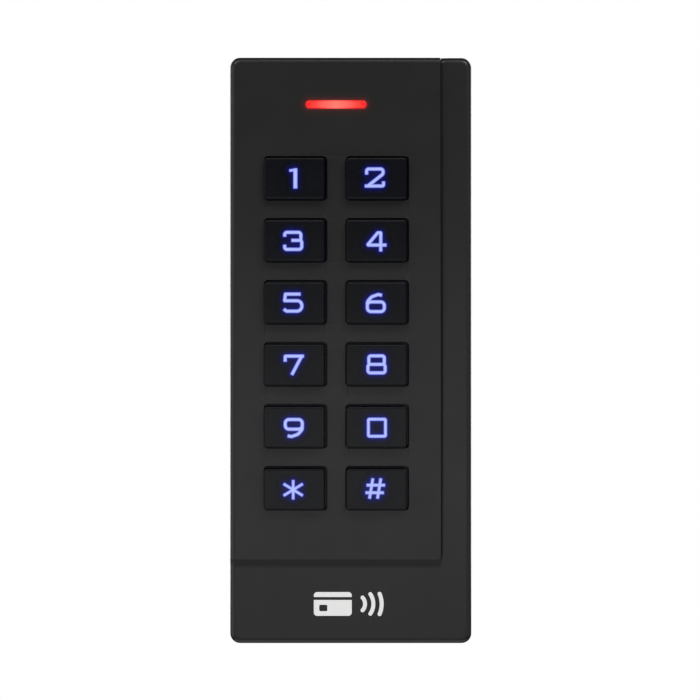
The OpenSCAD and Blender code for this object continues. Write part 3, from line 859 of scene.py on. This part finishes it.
def contours(distance, half_x, half_y, spacing, levels):
    """Vertices and edges of a distance field's level lines, by marching squares."""
    xs, ys = np.arange(-half_x, half_x + spacing, spacing), np.arange(-half_y, half_y + spacing, spacing)
    gx, gy = np.meshgrid(xs, ys, indexing="ij")
    field = distance(np.column_stack([gx.ravel(), gy.ravel()])).reshape(gx.shape)
    points, edges = [], []
    for level in levels:
        value = np.where(field == level, level + 1e-9, field) - level
        index = {}

        def crossing(i, j, di, dj):
            key = (i, j, di)
            if key not in index:
                t = value[i, j] / (value[i, j] - value[i + di, j + dj])
                index[key] = len(points)
                points.append(Vector((xs[i] + di * spacing * t, ys[j] + dj * spacing * t)))
            return index[key]

        inside = value < 0
        count = inside[:-1, :-1].astype(int) + inside[1:, :-1] + inside[1:, 1:] + inside[:-1, 1:]
        for i, j in np.argwhere((count > 0) & (count < 4)):
            sides = [(i, j, 1, 0), (i + 1, j, 0, 1), (i, j + 1, 1, 0), (i, j, 0, 1)]
            cut = [crossing(*s) for s in sides if inside[s[0], s[1]] != inside[s[0] + s[2], s[1] + s[3]]]
            if len(cut) == 4 and inside[i, j] != (value[i:i + 2, j:j + 2].mean() < 0):
                cut = [cut[0], cut[3], cut[1], cut[2]]
            edges += [(cut[k], cut[k + 1]) for k in range(0, len(cut), 2)]
    return points, edges


def inlay(distance, half_x, half_y, spacing, levels, shift, z0, z1):
    """A thin plate in the shape of a distance field, cut along its level lines, that ends at the last one."""
    points, edges = contours(distance, half_x, half_y, spacing, levels)
    verts, faces = triangles(points, edges, lambda p: distance(p) < levels[-1])
    return plate(verts + shift, faces, z0, z1)


LEGEND_HALF, LEGEND_SPACING = 3.9, 0.075   # how far its distances are sampled, and how finely
LEGEND_SUNK, LEGEND_PROUD = 0.12, 0.015    # from the key's face
# Brightness at distances from a stroke's edge, and level lines further out for the painted glow that spreads
# onto the key
GLOW_AT = [-0.32, -0.16, -0.05, 0.06]
GLOW = [1.0, 0.8, 0.5, 0.2]
SPREAD_AT = [0.22, 0.42, 0.7, 1.05, 1.5]
# The painted glow that spreads from 1 mm of stroke, as (strength, distance in mm over which it falls to 37%)
SPREAD_LIGHT = [(4.2, 0.3), (0.06, 1.0)]
SPREAD_STEP, SPREAD_FADE = 0.2, 0.9


def spread_light(key, p, distance):
    """Painted glow that reaches a point on the key from all of its legend, up to the last level line."""
    lines = [bend(path) for _, path in STROKES[key]]
    for _, x, y, *size in RINGS.get(key, []):
        loop = rect_loop(*size, 6) + [x, y]
        lines.append([*loop, loop[0]])
    total = np.zeros(len(p))
    for line in lines:
        for a, b in zip(line, line[1:]):
            count = math.ceil(length(b - a) / SPREAD_STEP)
            for i in range(count):
                away = np.hypot(*(p - a - (b - a) * (i + 0.5) / count).T)
                light = sum(strength * np.exp(-away / fall) for strength, fall in SPREAD_LIGHT)
                total += length(b - a) / count * light
    return np.minimum(total, 1) * np.clip((SPREAD_AT[-1] - distance) / SPREAD_FADE, 0, 1)


def legend(key):
    """A key's legend and a painted glow on the plastic round it, with the glow's strength as the attribute
    "glow".
    """
    shift = KEY_CENTRES[key] + np.array(LEGEND_SHIFT[key])
    shell = inlay(lambda p: legend_distance(key, p), LEGEND_HALF, LEGEND_HALF, LEGEND_SPACING,
                  GLOW_AT + SPREAD_AT, shift, KEY_TOP_Z - LEGEND_SUNK, KEY_TOP_Z + LEGEND_PROUD)
    piece = make_piece("legend_" + key, shell, "blue_light", "key_" + key)
    places = np.array([(v.co.x / MM, v.co.z / MM) for v in piece.data.vertices]) - shift
    distance = legend_distance(key, places)
    glow = np.where(distance < GLOW_AT[-1] + 1e-3, np.interp(distance, GLOW_AT, GLOW),
                    GLOW[-1] * spread_light(key, places, distance))
    piece.data.attributes.new("glow", "FLOAT", "POINT").data.foreach_set("value", glow.astype(np.float32))


for key in KEY_NAMES:
    make_piece("keycap_moulding_" + key, keycap(KEY_CENTRES[key]), "key_plastic", "key_" + key,
               ["keycap_" + key])
    legend(key)


# ---- key mat

def mat_sheet():
    """The mat's flat sheet, with a hole under each dome and a window on each side of it for the light."""
    low, high = lying_box("key_mat")
    centre, size = (low + high)[:2] / 2, (high - low)[:2]
    dome_r = DOME_BASE_R - DOME_WALL
    domes = list(KEY_CENTRES.values())
    windows = [at + [x, 0] for at in domes for x in (-MAT_WINDOW_X, MAT_WINDOW_X)]
    lines = [(rect_loop(*size, MAT_CORNER_R, 5) + centre, True)]
    lines += [(rect_loop(*MAT_WINDOW, 2) + at, True) for at in windows]
    lines += [(circle_loop(dome_r, ROUND_STEPS) + at, True) for at in domes]

    def sheet(p):
        inside = rect_distance(p - centre, *size, MAT_CORNER_R) < 0
        for at in windows:
            inside &= rect_distance(p - at, *MAT_WINDOW) > 0
        for at in domes:
            inside &= np.hypot(*(p - at).T) > dome_r - 0.01
        return inside

    return plate(*fill(lines, sheet), BOARD_TOP_Z, MAT_TOP_Z)


def dome_web(centre):
    """The dome's thin sloping wall, the key's spring."""
    shell = Shell()
    shell.revolve([(DOME_BASE_R - DOME_WALL, MAT_TOP_Z), (DOME_BASE_R, MAT_TOP_Z), (DOME_TOP_R, DOME_TOP_Z),
                   (DOME_TOP_R - DOME_WALL, DOME_TOP_Z)], centre)
    return shell


def plunger(centre, pill_top):
    """The dome's solid middle, from the contact pill up to the key's post, with broken edges."""
    shell = Shell()
    neck, chamfer, top_chamfer = DOME_TOP_R - DOME_WALL, 0.15, 0.12
    shell.revolve([(0, pill_top), (PLUNGER_R, pill_top), (PLUNGER_R + chamfer, pill_top + chamfer),
                   (PLUNGER_R + chamfer, PLUNGER_HEAD_Z - chamfer), (PLUNGER_R + 2 * chamfer, PLUNGER_HEAD_Z),
                   (neck, PLUNGER_HEAD_Z), (neck, DOME_TOP_Z), (DOME_TOP_R, DOME_TOP_Z),
                   (DOME_TOP_R, KEY_BASE_Z - top_chamfer), (DOME_TOP_R - top_chamfer, KEY_BASE_Z),
                   (0, KEY_BASE_Z)], centre)
    return shell


make_piece("mat_sheet", mat_sheet(), "silicone", "housing", ["key_mat"])
for key in KEY_NAMES:
    web = make_piece("mat_dome_" + key, dome_web(KEY_CENTRES[key]), "silicone", "housing")
    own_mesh(web)
    pill_top = lying_box("contact_pill_" + key)[1][2]
    make_piece("mat_plunger_" + key, plunger(KEY_CENTRES[key], pill_top), "silicone", "key_" + key)


# ---- status lens and card mark

def status_lens():
    """Light-guide bar with a flange behind the cover and a gently crowned top."""
    steps, play, crown = 14, 0.01, 0.04
    bar_r = BAR_H / 2 - play
    top = (BAR_W - 2 * LENS_EDGE_R, BAR_H - 2 * LENS_EDGE_R, bar_r - LENS_EDGE_R)
    top_z = PANEL_Z - play
    rings = [at_z(rect_loop(*LENS_FLANGE, steps), z) for z in (LENS_BASE_Z, CEILING_Z)]
    rings.append(at_z(rect_loop(BAR_W, BAR_H, bar_r, steps), CEILING_Z))
    rings += [at_z(rect_loop(*widened(top, out), steps), top_z - crown - 0.6 * down)
              for out, down in round_over(LENS_EDGE_R, 5)[::-1]]
    rings.append(at_z(rect_loop(*top, steps), top_z - crown))
    rings.append(at_z(rect_loop(*widened(top, -0.3), steps), top_z))
    shell = Shell()
    shell.stack(rings)
    shell.verts = (np.array(shell.verts) + [*BAR, 0]).tolist()
    return shell


make_piece("lens_moulding", status_lens(), "red_lens", "housing", ["status_lens"])

# Card mark on the strip, in mm from its centre
MARK_CENTRE = np.array([0.4, -53.4])
MARK_HALF_W, MARK_HALF_H, MARK_SPACING = 9, 3.2, 0.09
MARK_SUNK, MARK_PROUD = 0.06, 0.02
CARD_AT, CARD = (-4.2, 0), (8.0, 5.0, 0.7)
STRIPE_AT, STRIPE = (-4.2, 1.15), (9.0, 0.62, 0.01)
CHIP_AT, CARD_CHIP = (-6.2, -0.85), (1.7, 1.35, 0.25)
WAVES_AT, WAVE_RADII, WAVE_W = (0.6, 0), (2.0, 3.75, 5.5), 0.84
WAVE_ANGLE, WAVE_ARC = 42, 126   # degrees either way, and degrees times mm where that is less


def mark_distance(p):
    """A card with its stripe and chip, and three waves."""
    card = rect_distance(p - CARD_AT, *CARD)
    stripe = rect_distance(p - STRIPE_AT, *STRIPE)
    chip = rect_distance(p - CHIP_AT, *CARD_CHIP)
    parts = [np.maximum(card, -np.minimum(stripe, chip))]
    local = p - WAVES_AT
    reach, angle = np.hypot(*local.T), np.arctan2(local[:, 1], local[:, 0])
    for radius in WAVE_RADII:
        limit = math.radians(min(WAVE_ANGLE, WAVE_ARC / radius))
        ends = [np.hypot(*(local - radius * np.array([math.cos(a), math.sin(a)])).T) for a in (-limit, limit)]
        arc = np.where(np.abs(angle) < limit, np.abs(reach - radius), np.minimum(*ends))
        parts.append(arc - WAVE_W / 2)
    return np.minimum.reduce(parts)


mark = inlay(mark_distance, MARK_HALF_W, MARK_HALF_H, MARK_SPACING, [0.0], MARK_CENTRE,
             STRIP_Z - MARK_SUNK, STRIP_Z + MARK_PROUD)
make_piece("card_mark", mark, "white_print_painted_glow", "housing", slot="white_plastic")


# ---- finishes of the CAD nodes

# Width and height of each chip's body, without its tinned legs, in mm
CHIP_BODY = {"microcontroller": (7.04, 7.04), "reader_chip": (3.94, 9.94), "voltage_regulator": (6.6, 3.54)}
for node, (w, h) in CHIP_BODY.items():
    two_part(node + "_finish", body_x(middle(node)), (w / 2 * MM, None, h / 2 * MM))

# The black base under the capacitor's tin can: its middle's distance from the board, and half its thickness
CAPACITOR_BASE_AT, CAPACITOR_BASE_HALF = 0.4, 0.41
two_part("filter_capacitor_finish", body_x([*middle("filter_capacitor")[:2], BOARD_BACK_Z - CAPACITOR_BASE_AT]),
         (None, CAPACITOR_BASE_HALF * MM, None))

# The CAD nodes that have each material
FINISHES = {
    "white_plastic": "light_box", "board_green": "main_board", "gold_plate": "contact_pads header_pins",
    "lamp_resin": "backlight_lamps status_lamps", "tinned_metal": "crystal",
    "chip_black": "protection_diodes chip_resistors buzzer", "sensor_resin": "tamper_sensor",
    "ivory_plastic": "wire_header", "copper_wire": "antenna_coil", "black_rubber": "cover_gasket cable_grommet",
    "screw_steel": "board_screws cover_screws security_screw", "plate_steel": "wall_plate",
    "rear_plastic": "rear_cover", "clear_plastic": "tamper_window",
    "carbon_rubber": " ".join("contact_pill_" + k for k in KEY_NAMES),
    **{node + "_finish": node for node in [*CHIP_BODY, "filter_capacitor"]},
}
# Bevel on a node's edges, in mm
EDGE_WIDTH = {"wall_plate": 0.15, "rear_cover": 0.2, "cable_grommet": 0.25, "security_screw": 0.08,
              "cover_screws": 0.08, "board_screws": 0.08, "main_board": 0.05, "light_box": 0.1, "buzzer": 0.2,
              "wire_header": 0.12, "crystal": 0.15, "tamper_window": 0.1, "tamper_sensor": 0.3}
BEVEL_ANGLE = math.radians(40)

for name, node in [(name, node) for name, nodes in FINISHES.items() for node in nodes.split()]:
    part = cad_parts[node]
    part.data.materials.clear()
    part.data.materials.append(MATERIALS[name])
    part.modifiers.new("weld", "WELD").merge_threshold = 1e-6
    if node in EDGE_WIDTH:
        edge = part.modifiers.new("edges", "BEVEL")
        edge.width = EDGE_WIDTH[node] * MM
        edge.segments = 2
        edge.limit_method = "ANGLE"
        edge.angle_limit = BEVEL_ANGLE
    keep_flat(part)


# ---- studio, in metres

# Area lights: (name, place, what it points at, size, power in watts)
LIGHTS = [
    ("left", (-0.35, -0.25, -0.05), (0, -0.02, -0.02), (0.2, 0.5), 0.28),
    ("right", (0.35, -0.25, -0.05), (0, -0.02, -0.02), (0.2, 0.5), 0.16),
    ("top", (0.03, -0.30, 0.52), (0, -0.02, 0), (0.35, 0.15), 0.25),
    ("top_left", (-0.25, -0.38, 0.40), (0, -0.02, 0), (0.2, 0.2), 0.49),
    ("top_right", (0.25, -0.38, 0.40), (0, -0.02, 0), (0.2, 0.2), 0.91),
    ("band", (0, -0.62, -0.06), (0, -0.02, -0.02), (0.6, 0.10), 0.265),
    ("mid_band", (0, -0.62, 0.03), (0, -0.02, 0), (0.6, 0.06), 0.032),
    ("low_front", (0, -0.40, -0.42), (0, -0.02, -0.04), (0.6, 0.25), 0.14),
    ("low_band", (0, -0.62, -0.22), (0, -0.02, -0.04), (0.6, 0.16), 0.145),
    ("under", (0, -0.1, -0.6), (0, -0.02, 0), (0.8, 0.4), 1.0),
    ("side_left", (-0.45, -0.04, 0), (0, -0.02, 0), (0.25, 0.5), 0.35),
    ("side_right", (0.45, -0.04, 0), (0, -0.02, 0), (0.25, 0.5), 0.1),
    ("back_left", (-0.35, 0.5, 0.15), (0, 0, 0), (0.4, 0.6), 2.0),
    ("back_right", (0.35, 0.5, 0.15), (0, 0, 0), (0.4, 0.6), 2.0),
]
AMBIENT = 0.004
FLOOR_R, FLOOR_Z, FLOOR_COLOUR = 1.2, -0.45, (0.80, 0.80, 0.79)
# The camera looks straight at the middle of the reader, from 350 mm in front of the panel
CAMERA_AT = (-0.00017, -(PANEL_Z + 350) * MM, 0.00012)
FOCAL_LENGTH, SENSOR_W = 85.5, 36   # mm


def add_light(name, at, towards, size, power):
    light = bpy.data.lights.new(name, "AREA")
    light.shape = "RECTANGLE"
    light.size, light.size_y = size
    light.energy = power
    holder = link(name, light)
    holder.location = at
    holder.rotation_euler = (Vector(towards) - Vector(at)).to_track_quat("-Z", "Y").to_euler()


def studio_world():
    """White behind the object, and a faint light on it from all round."""
    world = bpy.data.worlds.new("studio")
    world.use_nodes = True
    tree = world.node_tree
    tree.nodes.clear()
    mix = tree.nodes.new("ShaderNodeMixShader")
    seen = tree.nodes.new("ShaderNodeLightPath").outputs["Is Camera Ray"]
    tree.links.new(seen, mix.inputs["Fac"])
    for socket, strength in zip(mix.inputs[1:3], (AMBIENT, 1.0)):
        background = tree.nodes.new("ShaderNodeBackground")
        background.inputs["Color"].default_value = (1, 1, 1, 1)
        background.inputs["Strength"].default_value = strength
        tree.links.new(background.outputs[0], socket)
    tree.links.new(mix.outputs[0], tree.nodes.new("ShaderNodeOutputWorld").inputs["Surface"])
    bpy.context.scene.world = world


def floor():
    """Plain pale floor, well below the reader, that lights nothing."""
    bm = bmesh.new()
    bmesh.ops.create_circle(bm, cap_ends=True, radius=FLOOR_R, segments=96)
    mesh = bpy.data.meshes.new("floor")
    bm.to_mesh(mesh)
    bm.free()
    plain("floor_finish", FLOOR_COLOUR, 0.7, vary=0.01, grain=60, bump=1e-5,
          Emission_Color=FLOOR_COLOUR, Emission_Strength=0.95)
    mesh.materials.append(MATERIALS["floor_finish"])
    piece = link("floor", mesh)
    piece.location = (0, 0, FLOOR_Z)
    piece.visible_diffuse = piece.visible_glossy = False


studio_world()
floor()
for light in LIGHTS:
    add_light(*light)

camera_data = bpy.data.cameras.new("camera")
camera_data.lens = FOCAL_LENGTH
camera_data.sensor_width = SENSOR_W
camera_data.clip_start = 0.01
camera = link("camera", camera_data)
camera.location = CAMERA_AT
camera.rotation_euler = (math.radians(90), 0, 0)
bpy.context.scene.camera = camera
bpy.context.scene.view_settings.view_transform = "Standard"
